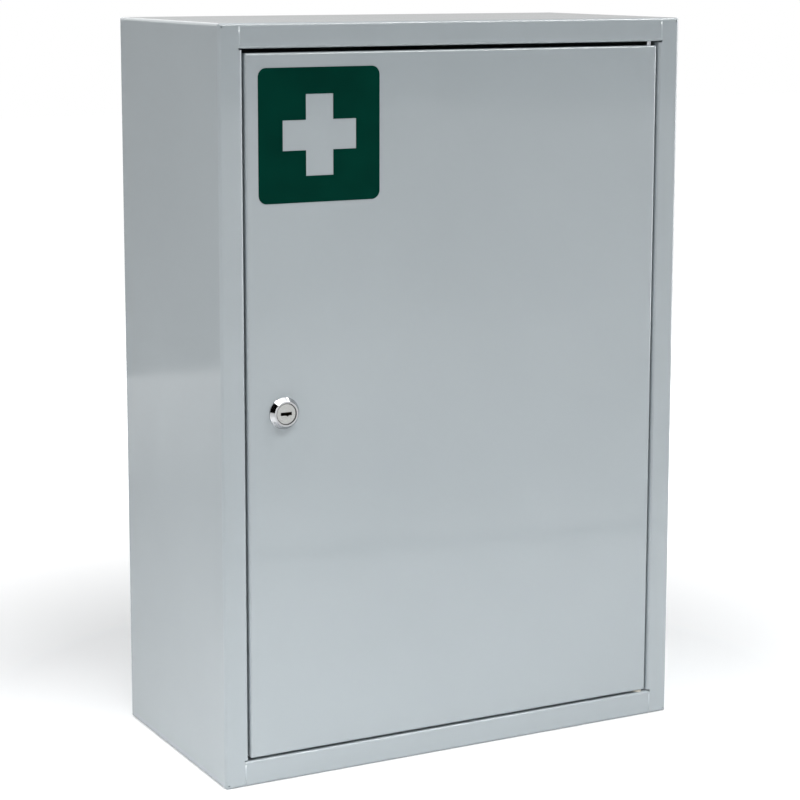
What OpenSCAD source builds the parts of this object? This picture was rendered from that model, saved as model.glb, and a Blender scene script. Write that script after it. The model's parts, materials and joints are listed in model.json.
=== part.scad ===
// Lockable medicine cabinet for a wall, folded from painted sheet steel.
// X runs to the right, -Y points out of the front, +Z is up.
// The origin is the middle of the underside. Lengths are in millimetres.

/* [Carcass] */
// Width over the side walls
body_w = 400; // [340:1:600]
// Height over the top and the bottom
body_h = 575; // [520:1:800]
// Depth from the wall to the front frame
body_d = 195; // [180:1:300]
// Thickness of the carcass sheet
sheet_t = 1; // [0.8:0.1:1.4]
// Outer radius of the carcass bends
bend_r = 2.5; // [2:0.1:3]
// Face width of the left and right stiles
stile_w = 19.2; // [17:0.1:26]
// Face height of the top rail
top_rail_h = 18.5; // [17:0.1:26]
// Face height of the bottom rail
bottom_rail_h = 19.7; // [17:0.1:26]
// Depth of the flanges that turn back from the frame
return_d = 17; // [15.5:0.1:20]
// Width of the flanges around the open rear
rear_flange_w = 15; // [12:0.5:25]
// Distance of the welded rail seams from the stile's inner edge
seam_inset = 3.2; // [3.2:0.1:5]
// Height of the relief slits at the inner corners of the frame
slit_h = 1; // [0.6:0.1:1.5]
// Diameter of the relief holes at the outer corners of the frame
relief_dia = 1.2; // [0.8:0.1:1.6]

/* [Wall fixing] */
// Thickness of the back panel
back_t = 1; // [0.8:0.1:1.5]
// Gap between the back panel's edges and the bends around it
back_gap = 0.5; // [0.3:0.1:1]
// Diameter of the holes for the wall screws
wall_hole_dia = 8; // [5:0.5:10]
// Distance of the wall holes from the sides
wall_hole_side = 50; // [40:1:70]
// Distance of the wall holes from the top and the bottom
wall_hole_end = 50; // [40:1:80]

/* [Door] */
// Thickness of the door sheet
door_t = 1; // [0.8:0.1:1.4]
// Depth of the door's folded edge
door_depth = 14; // [12.5:0.1:15]
// Outer radius of the door's bends
door_bend_r = 2; // [1.6:0.1:2.6]
// Radius of the door's four corners
door_corner_r = 1.6; // [1.5:0.1:2.4]
// Width of the lips inside the door's edge
lip_w = 10; // [8:0.5:14]
// Gap between the door and the stiles
side_gap = 1.8; // [1.6:0.1:2.6]
// Gap between the door and the top rail
top_gap = 3.3; // [2:0.1:4]
// Gap between the door and the bottom rail
bottom_gap = 1.8; // [1.4:0.1:3]
// Width of the open joints between the lips
lip_joint_w = 0.6; // [0.4:0.1:1]
// Width of the stiffener's crown
stiffener_w = 34; // [24:1:60]
// Width of the stiffener's feet
stiffener_foot_w = 9; // [6:1:14]
// Height of the stiffener, from the door's inner face
stiffener_h = 9; // [6:0.5:10]
// Distance of the stiffener's ends from the door's ends
stiffener_end = 36; // [30:1:80]

/* [Hinges] */
// Diameter of the pivot pins
pin_dia = 4.2; // [3:0.1:4.6]
// Distance of the hinge axis from the door's edge
axis_side = 5; // [4.6:0.1:6]
// Distance of the hinge axis behind the door's face
axis_depth = 5.2; // [4.8:0.1:5.4]
// Radial gap of the pins in their bushes
pin_gap = 0.05; // [0.02:0.01:0.1]
// Radial gap of pieces seated in holes of the same body
seat_gap = 0.05; // [0.02:0.01:0.1]
// Wall of the bushes
bush_wall = 0.9; // [0.7:0.1:1.2]
// Width of the bush collars beyond the bush
collar_w = 1; // [0.6:0.1:1]
// Thickness of the upper bush's collar
collar_t = 1; // [0.6:0.1:1.6]
// Length of the hinge gussets
gusset_l = 34; // [24:1:60]
// Thickness of the hinge gussets and the pivot plates
plate_t = 2; // [1.5:0.1:3]
// Length of the pivot plates
pivot_plate_l = 30; // [20:1:50]
// Diameter of the pins' riveted heads
pin_head_dia = 7; // [6:0.1:8]
// Thickness of the pins' riveted heads
pin_head_t = 1.5; // [1:0.1:2.5]
// Length of the pins' tapered tips
pin_tip_l = 0.5; // [0.3:0.1:1]

/* [Lock] */
// Distance of the lock from the door's edge
lock_side = 29.4; // [26:0.1:32]
// Height of the lock above the cabinet's underside
lock_z = 286; // [240:1:330]
// Diameter of the bezel
bezel_dia = 24.2; // [22.5:0.1:28]
// Height of the bezel in front of the door
bezel_h = 4.6; // [4:0.1:6]
// Height of the bezel's straight rim
rim_h = 0.9; // [0.5:0.1:1.5]
// Width of the bezel's bevel
bevel_w = 2.5; // [2:0.1:2.8]
// Width of the small edge between the bevel and the bezel's ring
bezel_edge = 0.15; // [0.05:0.05:0.3]
// Diameter of the threaded barrel
barrel_dia = 19; // [18.6:0.1:20]
// Distance across the barrel's two flats
barrel_flats = 16; // [15.4:0.1:17]
// Gap of the barrel in the door's hole
barrel_gap = 0.15; // [0.1:0.05:0.3]
// Length of the barrel behind the door's face
barrel_l = 16; // [15:0.1:16.5]
// Diameter of the plug
plug_dia = 12; // [11.4:0.1:12.6]
// Diameter of the plug's head
plug_head_dia = 16.1; // [15:0.1:16.4]
// Thickness of the plug's head
plug_head_t = 2; // [1.5:0.1:2.4]
// Depth of the plug's face below the bezel's ring
plug_recess = 0.7; // [0.4:0.1:1]
// Gap of the plug's head in the bezel
head_gap = 0.2; // [0.1:0.05:0.3]
// Length of the keyway across the plug
keyway_l = 8.6; // [7.5:0.1:9]
// Height of the keyway
keyway_h = 2; // [1.6:0.1:2.2]
// Diameter of the notch under the keyway
keyway_notch_dia = 2; // [1.5:0.1:2.4]
// Distance of the notch from the lock's axis
keyway_notch_x = 1.1; // [0:0.1:2.5]
// Depth of the keyway from the plug's face
keyway_depth = 15.4; // [15:0.1:15.8]
// Thickness of one wafer
wafer_t = 1; // [0.8:0.1:1.2]
// Depth of the first wafer's middle behind the door's face
wafer_start = 0.6; // [0.4:0.1:0.8]
// Distance from wafer to wafer
wafer_pitch = 2.4; // [2:0.1:2.6]
// Number of wafers
wafer_count = 5; // [3:1:5]
// Width of one wafer
wafer_w = 4.4; // [4:0.1:5]
// Gap of the wafers in their slots
wafer_gap = 0.05; // [0.03:0.01:0.1]
// Distance of the wafers' windows from the ends of the keyway
wafer_window_inset = 0.8; // [0.6:0.1:1.2]
// Gap of the key in the wafers' windows
wafer_window_gap = 0.1; // [0.05:0.05:0.2]
// Step by which the wafers' windows are set to the side
wafer_step = 0.6; // [0.2:0.1:0.6]
// Side of the plug's square shank
shank_w = 7; // [6.5:0.1:7.4]
// Depth of the shank's end in the cam's rear face
shank_recess = 0.2; // [0.1:0.1:0.5]
// Distance across the flats of the nut
nut_flats = 22; // [21.4:0.1:24]
// Thickness of the nut
nut_t = 4.5; // [3:0.1:6]
// Width left flat round the nut's chamfered face
nut_land = 0.2; // [0.1:0.1:0.6]
// Diameter of the toothed washer
tooth_washer_dia = 25; // [23:0.1:27]
// Thickness of the toothed washer
tooth_washer_t = 1; // [0.6:0.1:1.4]
// Number of teeth on the toothed washer
tooth_count = 18; // [12:1:24]
// Width of the cuts between the teeth
tooth_cut_w = 1.4; // [1:0.1:2]
// Thickness of the stop washer
stop_t = 1; // [0.8:0.1:1.2]
// Width of the stop washer's disc beyond the plug
stop_disc_w = 0.9; // [0.6:0.1:1]
// Turn of the lock from open to locked, in degrees
lock_turn = 90; // [75:1:100]
// Angle that the stop washer's tab takes up, in degrees
stop_tab_angle = 30; // [20:1:40]
// Play of the tab between its two stops, in degrees
stop_play_angle = 1; // [0.5:0.5:2]
// Distance between pieces that turn past each other
turn_gap = 0.1; // [0.05:0.01:0.2]
// Gap between the locked cam and the stile's flange
cam_gap = 0.6; // [0.3:0.1:1]
// Length of the cam from the lock's axis
cam_l = 39.5; // [37:0.1:41]
// Width of the cam
cam_w = 16; // [14:0.5:17]
// Thickness of the cam
cam_t = 2.4; // [2:0.1:3]
// Diameter of the cam screw's thread
screw_dia = 4; // [3:0.1:4.5]
// Diameter of the cam screw's head
screw_head_dia = 8; // [7:0.1:9]
// Thickness of the cam screw's head
screw_head_t = 2.6; // [2:0.1:3]
// Height of the rounded part of the cam screw's head
screw_dome_t = 1; // [0.6:0.1:1.4]
// Length of the cross recess in the cam screw's head
recess_l = 4.8; // [3.5:0.1:5]
// Width of the cross recess
recess_w = 1.1; // [0.8:0.1:1.4]
// Depth of the cross recess
recess_depth = 1.4; // [1:0.1:1.6]
// Gap between the cam screw's end and the floor of its hole
screw_end_gap = 0.5; // [0.3:0.1:1]
// Wall between the keyway's floor and the cam screw's hole
plug_web_t = 0.6; // [0.4:0.1:0.8]
// Diameter of the cam washer
cam_washer_dia = 11; // [10:0.5:14]
// Thickness of the cam washer
cam_washer_t = 1; // [0.8:0.1:1.2]

/* [Door stops] */
// Height of the lower door stop above the underside
lower_stop_z = 110; // [70:1:180]
// Distance of the upper door stop below the top
upper_stop_z = 115; // [70:1:180]
// Height of the stop brackets
bracket_h = 26; // [16:1:40]
// Reach of the stop brackets behind the door
bracket_reach = 13; // [12:0.5:16]
// Length of the brackets' feet on the stile's flange
bracket_foot_l = 9; // [6:0.5:12]
// Diameter of the rubber buffers
buffer_dia = 9; // [7:0.5:10]
// Diameter of the buffers' stems
buffer_stem_dia = 4; // [3:0.1:5]
// Chamfer round the buffers' heads
buffer_chamfer = 1; // [0.5:0.1:1.1]
// Length of the buffers' barbs behind the brackets
barb_l = 2; // [1.4:0.1:3]
// Width of the barbs beyond the stems
barb_w = 0.6; // [0.3:0.1:0.8]
// Gap between the closed door and the buffers
buffer_gap = 0.3; // [0.2:0.1:0.5]

/* [Shelves] */
// Thickness of the shelves and the slotted uprights
shelf_t = 1; // [0.8:0.1:1.4]
// Distance of the front uprights from the cabinet's front
upright_front = 28; // [26:1:34]
// Distance of the rear uprights from the cabinet's rear
upright_rear = 16; // [10:1:22]
// Width of an upright's crown
crown_w = 14; // [12:1:18]
// Width of an upright's feet
foot_w = 5; // [4:0.5:8]
// Height of the crown above the side wall
crown_h = 6; // [5:0.5:8]
// Distance of the uprights from the top and the bottom
upright_end = 40; // [30:1:60]
// Height of the first slot above the underside
first_slot_z = 55; // [50:1:70]
// Distance from slot to slot
slot_pitch = 25; // [20:1:30]
// Height of a slot
slot_open_h = 3.2; // [2.8:0.1:3.6]
// Width of a slot
slot_open_w = 8; // [6:0.5:10]
// Thickness of a shelf clip
clip_t = 2; // [1.6:0.1:2.4]
// Reach of a shelf clip beyond the upright
clip_reach = 12; // [9:0.5:14]
// Gap of a clip in its slot
clip_gap = 0.3; // [0.2:0.05:0.5]
// Length of a clip's hook behind the upright
clip_hook_l = 3; // [2:0.5:4]
// Length of a clip's stay in front of the upright
clip_stay_l = 5; // [3:0.5:8]
// Slot that carries the lower shelf, counted from 0
lower_slot = 6; // [4:1:7]
// Slot that carries the upper shelf, counted from 0
upper_slot = 13; // [12:1:15]
// Gap between the shelves and the uprights
shelf_gap = 1; // [0.5:0.1:2]
// Distance of the shelves from the cabinet's front
shelf_front = 28; // [26:1:36]
// Gap between the shelves and the back panel
shelf_back_gap = 5; // [2:0.5:10]
// Height of the shelves' folded edges
fold_h = 14; // [10:0.5:20]
// Width of the hem under the folded edges
hem_w = 6; // [4:0.5:8]
// Outer radius of the shelves' bends
shelf_bend_r = 2; // [1.6:0.1:2.4]

/* [Hidden] */
$fn = 48;

paint = "#b9bec0";
zinc = "#a9adb0";
chrome = "#d8dadc";
brass = "#b99a55";
nylon = "#e8e6df";
rubber = "#26272a";

// Far enough past a face to cut cleanly through it
past = 1;
// How far two parts of one sheet are drawn into each other
join_w = 0.5;

// Carcass planes
front_y = -body_d / 2;
rear_y = body_d / 2;
side_x = body_w / 2;
seam_x = side_x - stile_w + seam_inset;
return_y = front_y + return_d;
top_edge_z = body_h - top_rail_h;
back_y = rear_y - sheet_t - back_t;

// Door planes
door_left_x = -side_x + stile_w + side_gap;
door_right_x = side_x - stile_w - side_gap;
door_bottom_z = bottom_rail_h + bottom_gap;
door_top_z = top_edge_z - top_gap;
door_w = door_right_x - door_left_x;
door_h = door_top_z - door_bottom_z;

// Hinges
hinge_x = door_right_x - axis_side;
hinge_y = front_y + axis_depth;
bush_r = pin_dia / 2 + pin_gap + bush_wall;
collar_r = bush_r + collar_w;
lower_collar_t = bottom_gap - pin_gap;
gusset_w = return_d - bend_r;
pivot_plate_w = door_depth - 2 * door_bend_r;

// Lock, along its own axis with zero at the door's face
lock_x = door_left_x + lock_side;
ring_z = bezel_h - plug_recess;
head_floor_z = ring_z - plug_head_t;
counterbore_r = plug_head_dia / 2 + head_gap;
nut_z = -door_t - tooth_washer_t - nut_t;
cam_front_z = -return_d - cam_gap;
cam_rear_z = cam_front_z - cam_t;
stop_z = cam_front_z + turn_gap;
shank_end_z = cam_rear_z + shank_recess;
plug_end_z = -barrel_l - turn_gap;
keyway_floor_z = ring_z - keyway_depth;
screw_hole_end_z = keyway_floor_z - plug_web_t;
stop_disc_r = plug_dia / 2 + stop_disc_w;

// Door stops: their heights, the buffers' middle and the stile flange's hidden side
stop_heights = [lower_stop_z, body_h - upper_stop_z];
buffer_x = door_left_x + lip_w / 2;
bracket_x = -side_x + stile_w - 2 * sheet_t;

// Shelves
crown_x = side_x - sheet_t - crown_h;
upright_w = crown_w + 2 * (foot_w - shelf_t);
front_upright_y = front_y + upright_front;
rear_upright_y = rear_y - upright_rear - upright_w;
upright_h = body_h - 2 * upright_end;
slot_count = floor((upright_h - 2 * (first_slot_z - upright_end)) / slot_pitch) + 1;
shelf_w = 2 * (crown_x - shelf_gap);
shelf_d = back_y - shelf_back_gap - (front_y + shelf_front);
clip_w = slot_open_w - 2 * clip_gap;

function slot_z(index) = first_slot_z + index * slot_pitch;

// Rectangle about its centre with true round corners
module round_rect(w, h, r) {
  square([w - 2 * r, h], center = true);
  square([w, h - 2 * r], center = true);
  for (sx = [-1, 1], sy = [-1, 1])
    translate([sx * (w / 2 - r), sy * (h / 2 - r)]) circle(r);
}

// Block about its centre whose edges are bent round along all three axes
module round_block(w, d, h, r, corner_r) {
  intersection() {
    linear_extrude(h, center = true) round_rect(w, d, r);
    rotate([90, 0, 0]) linear_extrude(d, center = true) round_rect(w, h, corner_r);
    rotate([90, 0, 90]) linear_extrude(w, center = true) round_rect(d, h, r);
  }
}

// Quarter of a bent strip: outer radius r, opening towards +X +Y
module quarter_bend(r, t) {
  difference() {
    intersection() {
      circle(r);
      translate([-r, -r]) square(r);
    }
    circle(r - t);
  }
}

// Section of the front frame: a face strip from x = start and the flange behind it
module frame_section(face_w, start) {
  translate([start, 0]) square([face_w - bend_r - start, sheet_t]);
  translate([face_w - bend_r, bend_r]) mirror([1, 0]) quarter_bend(bend_r, sheet_t);
  translate([face_w - sheet_t, bend_r]) square([sheet_t, return_d - bend_r]);
}

// Wrap of walls, top and bottom with bent long edges
module wrap_shell() {
  translate([0, 0, body_h / 2]) difference() {
    round_block(body_w, body_d, body_h, bend_r, bend_r);
    round_block(
      body_w - 2 * sheet_t, body_d - 2 * sheet_t, body_h - 2 * sheet_t,
      bend_r - sheet_t, bend_r - sheet_t
    );
  }
}

// Prism along Y over an outline in X and Z
module along_depth(depth) {
  rotate([90, 0, 0]) linear_extrude(depth, center = true) children();
}

// Small holes where the bends meet at the outer corners of the frame
module corner_reliefs() {
  inset = bend_r + relief_dia / 4;
  for (sx = [-1, 1], z = [inset, body_h - inset])
    translate([sx * (side_x - inset), front_y, z])
      rotate([90, 0, 0]) cylinder(h = 4 * bend_r, d = relief_dia, center = true);
}

// Wall, stile and rear flange in one sheet, mitred at the long edges
module side_panel() {
  difference() {
    union() {
      intersection() {
        wrap_shell();
        along_depth(body_d + 2 * past) {
          polygon([
            [-side_x, 0], [-side_x + bend_r, bend_r],
            [-side_x + bend_r, body_h - bend_r], [-side_x, body_h]
          ]);
          translate([-side_x + bend_r - join_w, bend_r])
            square([2 * join_w, body_h - 2 * bend_r]);
        }
      }
      translate([-side_x + bend_r, front_y, bend_r])
        cube([side_x - bend_r - seam_x, sheet_t, body_h - 2 * bend_r]);
      translate([-side_x, front_y, bottom_rail_h + slit_h])
        linear_extrude(top_edge_z - bottom_rail_h - 2 * slit_h)
          frame_section(stile_w, side_x - seam_x - join_w);
      translate([-side_x + bend_r, rear_y - sheet_t, bend_r])
        cube([rear_flange_w - bend_r, sheet_t, body_h - 2 * bend_r]);
    }
    corner_reliefs();
  }
}

module left_side_panel() {
  color(paint) side_panel();
}

module right_side_panel() {
  color(paint) mirror([1, 0, 0]) side_panel();
}

// Top or bottom sheet with its rail, drawn as the top one
module end_panel(rail_h) {
  join_x = min(seam_x, side_x - rear_flange_w) - join_w;
  difference() {
    union() {
      intersection() {
        wrap_shell();
        along_depth(body_d + 2 * past) {
          polygon([
            [-side_x, body_h], [-side_x + bend_r, body_h - bend_r],
            [side_x - bend_r, body_h - bend_r], [side_x, body_h]
          ]);
          translate([-join_x, body_h - bend_r - join_w]) square([2 * join_x, 2 * join_w]);
        }
      }
      translate([-seam_x, front_y, body_h]) rotate([0, 90, 0])
        linear_extrude(2 * seam_x) frame_section(rail_h, bend_r);
      translate([-side_x + rear_flange_w, rear_y - sheet_t, body_h - rear_flange_w])
        cube([body_w - 2 * rear_flange_w, sheet_t, rear_flange_w - bend_r]);
    }
    corner_reliefs();
  }
}

module top_panel() {
  color(paint) difference() {
    end_panel(top_rail_h);
    translate([hinge_x, hinge_y, top_edge_z - past])
      cylinder(h = sheet_t + 2 * past, r = bush_r + seat_gap);
  }
}

module bottom_panel() {
  color(paint) difference() {
    translate([0, 0, body_h]) mirror([0, 0, 1]) end_panel(bottom_rail_h);
    translate([hinge_x, hinge_y, bottom_rail_h - sheet_t - past])
      cylinder(h = sheet_t + 2 * past, r = bush_r + seat_gap);
  }
}

module back_panel() {
  inset = bend_r + back_gap;
  color(paint) difference() {
    translate([-side_x + inset, back_y, inset])
      cube([body_w - 2 * inset, back_t, body_h - 2 * inset]);
    for (sx = [-1, 1], z = [wall_hole_end, body_h - wall_hole_end])
      translate([sx * (side_x - wall_hole_side), back_y, z])
        rotate([90, 0, 0]) cylinder(h = 4 * back_t, d = wall_hole_dia, center = true);
  }
}

// Plate welded to the hidden side of a rail's flange, from z upwards
module hinge_gusset(z) {
  difference() {
    translate([seam_x - gusset_l, front_y + bend_r, z])
      cube([gusset_l, gusset_w, plate_t]);
    translate([hinge_x, hinge_y, z - past])
      cylinder(h = plate_t + 2 * past, r = bush_r + seat_gap);
  }
}

module upper_hinge_gusset() {
  color(paint) hinge_gusset(top_edge_z + sheet_t);
}

module lower_hinge_gusset() {
  color(paint) hinge_gusset(bottom_rail_h - sheet_t - plate_t);
}

// Bush from z = 0 to its length, with a collar on top
module hinge_bush(length, collar) {
  difference() {
    union() {
      cylinder(h = length, r = bush_r);
      translate([0, 0, length]) cylinder(h = collar, r = collar_r);
    }
    translate([0, 0, -past])
      cylinder(h = length + collar + 2 * past, r = pin_dia / 2 + pin_gap);
  }
}

module upper_hinge_bush() {
  color(nylon) translate([hinge_x, hinge_y, top_edge_z])
    hinge_bush(sheet_t + plate_t, collar_t);
}

module lower_hinge_bush() {
  color(nylon) translate([hinge_x, hinge_y, bottom_rail_h - sheet_t - plate_t])
    hinge_bush(sheet_t + plate_t, lower_collar_t);
}

// Hat section with a row of slots, standing on the left wall at depth y
module slotted_upright(y) {
  web_w = foot_w - shelf_t;
  difference() {
    translate([-side_x + sheet_t, y, upright_end]) linear_extrude(upright_h) {
      square([shelf_t, foot_w]);
      translate([0, upright_w - foot_w]) square([shelf_t, foot_w]);
      translate([0, web_w]) square([crown_h, shelf_t]);
      translate([0, upright_w - foot_w]) square([crown_h, shelf_t]);
      translate([crown_h - shelf_t, web_w]) square([shelf_t, crown_w]);
    }
    for (index = [0 : slot_count - 1])
      translate([-crown_x - shelf_t - past, y + (upright_w - slot_open_w) / 2, slot_z(index)])
        cube([shelf_t + 2 * past, slot_open_w, slot_open_h]);
  }
}

module front_left_upright() {
  color(paint) slotted_upright(front_upright_y);
}

module rear_left_upright() {
  color(paint) slotted_upright(rear_upright_y);
}

module front_right_upright() {
  color(paint) mirror([1, 0, 0]) slotted_upright(front_upright_y);
}

module rear_right_upright() {
  color(paint) mirror([1, 0, 0]) slotted_upright(rear_upright_y);
}

// Shelf with its front and rear edges folded down and hemmed
module shelf(index) {
  translate([-shelf_w / 2, front_y + shelf_front, slot_z(index) + clip_t + shelf_t])
    rotate([90, 0, 90]) linear_extrude(shelf_w) {
      translate([shelf_bend_r, -shelf_t]) square([shelf_d - 2 * shelf_bend_r, shelf_t]);
      shelf_edge();
      translate([shelf_d, 0]) mirror([1, 0]) shelf_edge();
    }
}

module shelf_edge() {
  translate([shelf_bend_r, -shelf_bend_r]) mirror([0, 1]) quarter_bend(shelf_bend_r, shelf_t);
  translate([0, -fold_h]) square([shelf_t, fold_h - shelf_bend_r]);
  translate([0, -fold_h]) square([hem_w, shelf_t]);
}

module lower_shelf() {
  color(paint) shelf(lower_slot);
}

module upper_shelf() {
  color(paint) shelf(upper_slot);
}

// Clip hooked into a slot, with a tongue under the shelf
module shelf_clip() {
  hook_x = shelf_t + clip_gap;
  translate([0, clip_w / 2, 0]) rotate([90, 0, 0]) linear_extrude(clip_w) {
    translate([-hook_x - clip_t, 0]) square([hook_x + clip_t + clip_reach, clip_t]);
    translate([-hook_x - clip_t, -clip_hook_l]) square([clip_t, clip_hook_l + join_w]);
    translate([seat_gap, -clip_stay_l]) square([clip_t - seat_gap, clip_stay_l + join_w]);
  }
}

module shelf_clips(index) {
  for (sx = [0, 1], y = [front_upright_y, rear_upright_y])
    mirror([sx, 0, 0]) translate([-crown_x, y + upright_w / 2, slot_z(index)]) shelf_clip();
}

module lower_shelf_clips() {
  color(zinc) shelf_clips(lower_slot);
}

module upper_shelf_clips() {
  color(zinc) shelf_clips(upper_slot);
}

// Angle brackets on the hidden side of the left stile's flange
module door_stop_brackets() {
  color(paint) for (z = stop_heights) difference() {
    union() {
      translate([bracket_x, return_y - bracket_foot_l, z - bracket_h / 2])
        cube([sheet_t, bracket_foot_l + sheet_t, bracket_h]);
      translate([bracket_x, return_y, z - bracket_h / 2])
        cube([2 * sheet_t + bracket_reach, sheet_t, bracket_h]);
    }
    translate([buffer_x, return_y, z]) rotate([90, 0, 0])
      cylinder(h = 4 * sheet_t, d = buffer_stem_dia + 2 * seat_gap, center = true);
  }
}

module door_stop_buffers() {
  head_t = return_d - door_depth - buffer_gap;
  head_r = buffer_dia / 2;
  stem_r = buffer_stem_dia / 2;
  color(rubber) for (z = stop_heights) translate([buffer_x, return_y, z]) rotate([90, 0, 0])
    rotate_extrude() polygon([
      [0, -sheet_t - barb_l], [stem_r - barb_w, -sheet_t - barb_l], [stem_r + barb_w, -sheet_t - barb_w],
      [stem_r + barb_w, -sheet_t], [stem_r, -sheet_t], [stem_r, 0], [head_r, 0],
      [head_r, head_t - buffer_chamfer], [head_r - buffer_chamfer, head_t], [0, head_t]
    ]);
}

// Hollow door block about its centre, open between its lips, with a joint across each corner
module door_pan() {
  lip_flat_w = lip_w - door_bend_r;
  joint_l = 1.8 * lip_flat_w * sqrt(2) - 2 * lip_joint_w;
  difference() {
    round_block(door_w, door_depth, door_h, door_bend_r, door_corner_r);
    round_block(
      door_w - 2 * door_t, door_depth - 2 * door_t, door_h - 2 * door_t,
      door_bend_r - door_t, door_corner_r - door_t
    );
    translate([0, door_depth / 2, 0])
      cube([door_w - 2 * lip_w, 4 * door_t, door_h - 2 * lip_w], center = true);
    for (sx = [-1, 1], sz = [-1, 1])
      translate([sx * (door_w / 2 - lip_w), door_depth / 2, sz * (door_h / 2 - lip_w)])
        rotate([0, -45 * sx * sz, 0])
          cube([joint_l, 4 * door_t, lip_joint_w], center = true);
  }
}

// Pan folded from one sheet, with holes for the lock and the pivot pins
module door_skin() {
  middle_z = door_bottom_z + door_h / 2;
  color(paint) difference() {
    translate([(door_left_x + door_right_x) / 2, front_y + door_depth / 2, middle_z]) door_pan();
    translate([lock_x, front_y, lock_z]) rotate([90, 0, 0])
      linear_extrude(4 * door_t, center = true) barrel_section(barrel_gap);
    translate([hinge_x, hinge_y, door_bottom_z - past])
      cylinder(h = door_h + 2 * past, r = pin_dia / 2 + seat_gap);
  }
}

// Hat section welded upright inside the door
module door_stiffener() {
  web_x = stiffener_w / 2;
  translate([0, front_y + door_t, door_bottom_z + stiffener_end])
    color(paint) linear_extrude(door_h - 2 * stiffener_end) {
      for (side = [0, 1]) mirror([side, 0]) {
        translate([web_x - door_t, 0]) square([stiffener_foot_w, door_t]);
        translate([web_x - door_t, 0]) square([door_t, stiffener_h]);
      }
      translate([-web_x, stiffener_h - door_t]) square([stiffener_w, door_t]);
    }
}

// Reinforcement inside the door's end, with its lower face at z
module pivot_plate(z) {
  difference() {
    translate([door_right_x - door_bend_r - pivot_plate_l, front_y + door_bend_r, z])
      cube([pivot_plate_l, pivot_plate_w, plate_t]);
    translate([hinge_x, hinge_y, z - past])
      cylinder(h = plate_t + 2 * past, r = pin_dia / 2 + seat_gap);
  }
}

module upper_pivot_plate() {
  color(zinc) pivot_plate(door_top_z - door_t - plate_t);
}

module lower_pivot_plate() {
  color(zinc) pivot_plate(door_bottom_z + door_t);
}

// Pin from its riveted head upwards, through a gap and a bush
module pivot_pin(gap) {
  reach = plate_t + door_t + gap + sheet_t + plate_t + collar_t;
  color(zinc) {
    cylinder(h = pin_head_t, d = pin_head_dia);
    cylinder(h = pin_head_t + reach, d = pin_dia);
    translate([0, 0, pin_head_t + reach])
      cylinder(h = pin_tip_l, d1 = pin_dia, d2 = pin_dia - 2 * pin_tip_l);
  }
}

module upper_pivot_pin() {
  translate([hinge_x, hinge_y, door_top_z - door_t - plate_t - pin_head_t])
    pivot_pin(top_gap);
}

module lower_pivot_pin() {
  translate([hinge_x, hinge_y, door_bottom_z + door_t + plate_t + pin_head_t])
    mirror([0, 0, 1]) pivot_pin(bottom_gap);
}

// Places children along the lock's axis: their z points out of the door
module at_lock() {
  translate([lock_x, front_y, lock_z]) rotate([90, 0, 0]) children();
}

// Round barrel with two flats, grown by a gap
module barrel_section(gap) {
  intersection() {
    circle(barrel_dia / 2 + gap);
    square([barrel_flats + 2 * gap, barrel_dia + 2 * gap + past], center = true);
  }
}

// Sector about the axis from one angle to another
module sector(from, to, r) {
  steps = 8;
  polygon(concat([[0, 0]], [for (i = [0 : steps])
    let (a = from + (to - from) * i / steps) [r * cos(a), r * sin(a)]]));
}

// Bezel, bored barrel and the lug behind it that stops the turning tab
module lock_housing() {
  bezel_r = bezel_dia / 2;
  bevel_r = bezel_r - bevel_w;
  bore_r = plug_dia / 2 + pin_gap;
  floor_z = head_floor_z - turn_gap;
  stop_half = stop_tab_angle / 2 + stop_play_angle;
  color(chrome) at_lock() {
    rotate_extrude() polygon([
      [bore_r, 0], [bezel_r, 0], [bezel_r, rim_h], [bevel_r, bezel_h - bezel_edge],
      [bevel_r - bezel_edge, bezel_h], [counterbore_r, bezel_h], [counterbore_r, floor_z], [bore_r, floor_z]
    ]);
    translate([0, 0, -barrel_l]) linear_extrude(barrel_l) difference() {
      barrel_section(0);
      circle(bore_r);
    }
    translate([0, 0, stop_z]) linear_extrude(-barrel_l - stop_z) difference() {
      barrel_section(0);
      circle(stop_disc_r + turn_gap);
      sector(90 - stop_half, 90 + lock_turn + stop_half, barrel_dia);
    }
  }
}

module lock_tooth_washer() {
  color(zinc) at_lock() translate([0, 0, -door_t - tooth_washer_t]) linear_extrude(tooth_washer_t)
    difference() {
      circle(tooth_washer_dia / 2);
      circle(barrel_dia / 2 + seat_gap);
      for (i = [0 : tooth_count - 1]) rotate(i * 360 / tooth_count)
        translate([tooth_washer_dia / 2, 0]) square(tooth_cut_w, center = true);
    }
}

// Hexagon nut, chamfered at its rear face
module lock_nut() {
  land_r = nut_flats / 2 + nut_land;
  color(zinc) at_lock() translate([0, 0, nut_z]) difference() {
    intersection() {
      cylinder(h = nut_t, d = nut_flats / cos(30), $fn = 6);
      cylinder(h = nut_t, r1 = land_r, r2 = land_r + nut_t);
    }
    translate([0, 0, -past]) cylinder(h = nut_t + 2 * past, d = barrel_dia + 2 * seat_gap);
  }
}

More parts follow.
